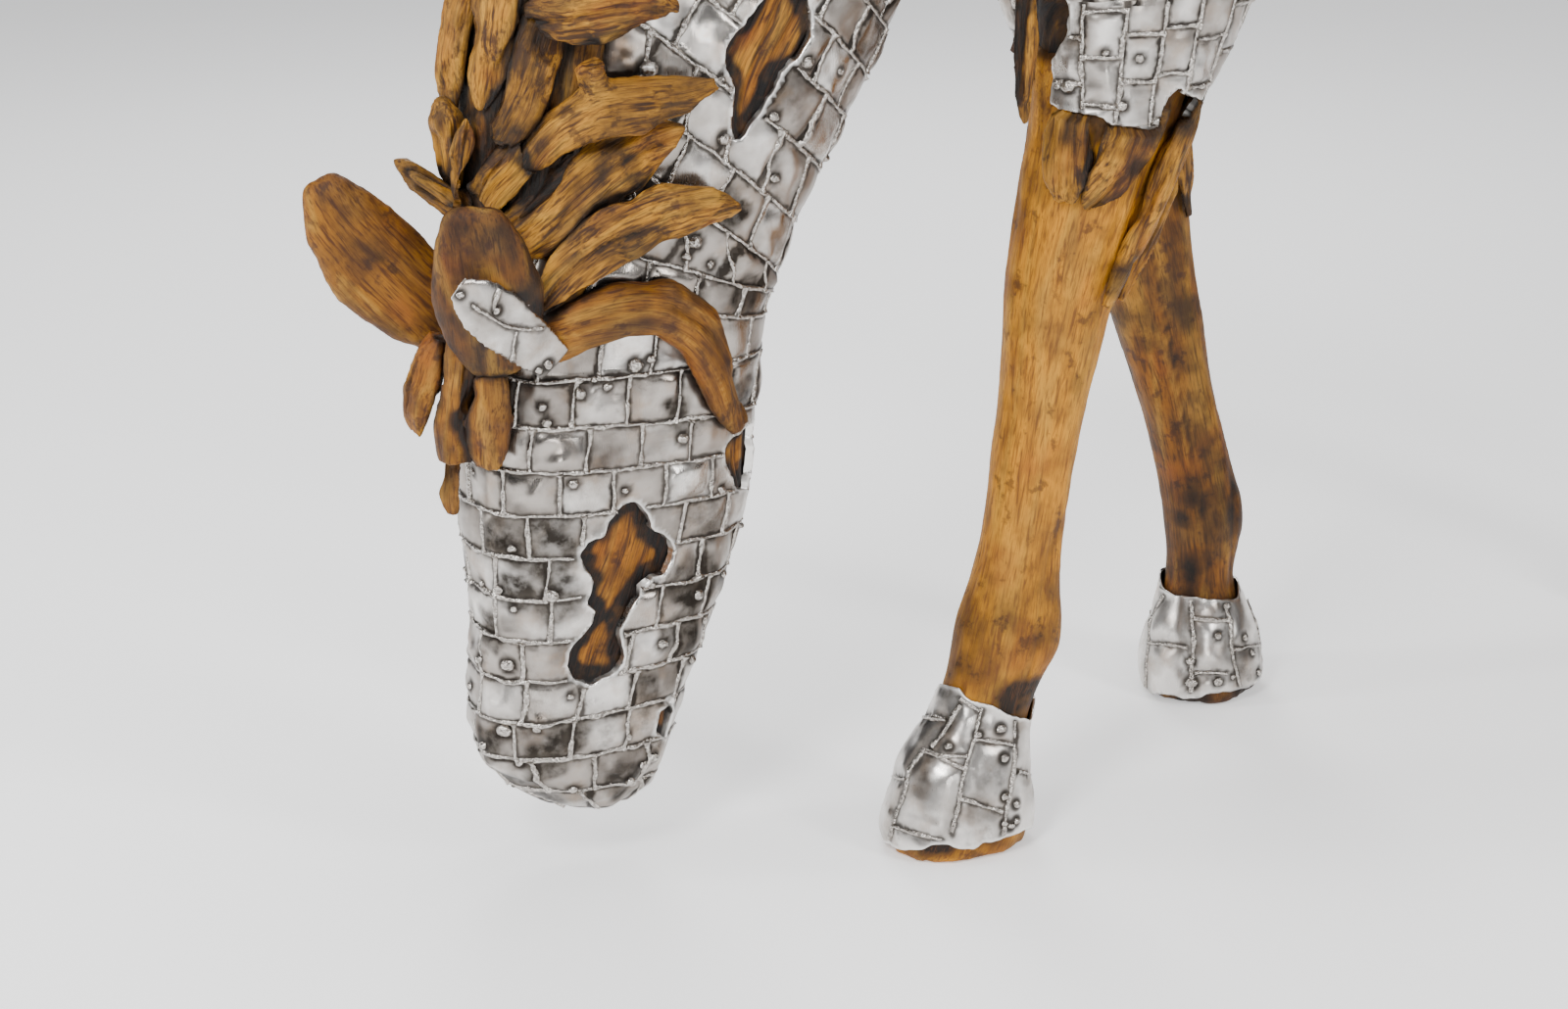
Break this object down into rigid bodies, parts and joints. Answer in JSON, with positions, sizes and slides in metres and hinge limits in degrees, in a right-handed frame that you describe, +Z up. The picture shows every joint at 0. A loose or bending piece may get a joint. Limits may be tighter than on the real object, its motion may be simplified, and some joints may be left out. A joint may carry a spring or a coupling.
{
  "type": "life-size grazing horse sculpture",
  "caption": "Life-size grazing horse in welded steel sheet and carved teak, standing on its four hooves with its muzzle near the ground.",
  "frame": {"origin": "on the ground, under the middle of the sculpture's bounding box", "axes": "+X along the horse's back from head to tail, so that it faces -X; +Y to its right side; +Z up"},
  "size_m": [2.333, 0.5596, 1.5761],
  "materials": {
    "welded_steel": "hand-beaten stainless sheet with proud weld beads",
    "carved_teak": "oiled, with scorched hollows",
    "charred_teak": "oiled, scorched black round its edge"
  },
  "bodies": {
    "root": {"brow_piece": "carved_teak", "face_window_wood": "charred_teak", "far_ear": "carved_teak", "far_forearm_slab": "carved_teak", "far_forehoof_boot": "welded_steel", "far_foreleg": "carved_teak", "forelock_left_strands": "carved_teak", "forelock_low_strand": "carved_teak", "forelock_middle_strand": "carved_teak", "forelock_wedge": "carved_teak", "jaw_window_wood": "charred_teak", "left_haunch_window_wood": "charred_teak", "left_hind_hoof_boot": "welded_steel", "left_hind_leg": "carved_teak", "left_rib_window_wood": "charred_teak", "mane_bed_crest": "carved_teak", "mane_bed_left": "carved_teak", "mane_crest_1": "carved_teak", "mane_crest_2": "carved_teak", "mane_crest_3": "carved_teak", "mane_lock_a": "carved_teak", "mane_lock_b": "carved_teak", "mane_lock_c": "carved_teak", "mane_lock_d": "carved_teak", "mane_lock_e": "carved_teak", "mane_lock_f": "carved_teak", "mane_lock_g": "carved_teak", "mane_lock_h": "carved_teak", "mane_lock_i": "carved_teak", "mane_lock_j": "carved_teak", "mane_lock_k": "carved_teak", "mane_right_1": "carved_teak", "mane_right_2": "carved_teak", "mane_right_3": "carved_teak", "mane_right_4": "carved_teak", "mane_stub": "carved_teak", "mane_upper_left_1": "carved_teak", "mane_upper_left_2": "carved_teak", "mane_upper_left_3": "carved_teak", "muzzle_window_wood": "charred_teak", "near_ear": "carved_teak", "near_ear_steel_leaf": "welded_steel", "near_forearm_front_splint": "carved_teak", "near_forearm_front_tongue": "carved_teak", "near_forearm_long_splint": "carved_teak", "near_forearm_rear_splint": "carved_teak", "near_forearm_rear_tongue": "carved_teak", "near_forehoof_boot": "welded_steel", "near_foreleg": "carved_teak", "neck_window_wood": "charred_teak", "right_haunch_window_wood": "charred_teak", "right_hind_hoof_boot": "welded_steel", "right_hind_leg": "carved_teak", "right_neck_window_wood": "charred_teak", "right_rib_window_wood": "charred_teak", "steel_clad_body": "welded_steel", "tail_piece_1": "carved_teak", "tail_piece_2": "carved_teak", "tail_piece_3": "carved_teak", "tail_piece_4": "carved_teak"}
  },
  "joints": []
}
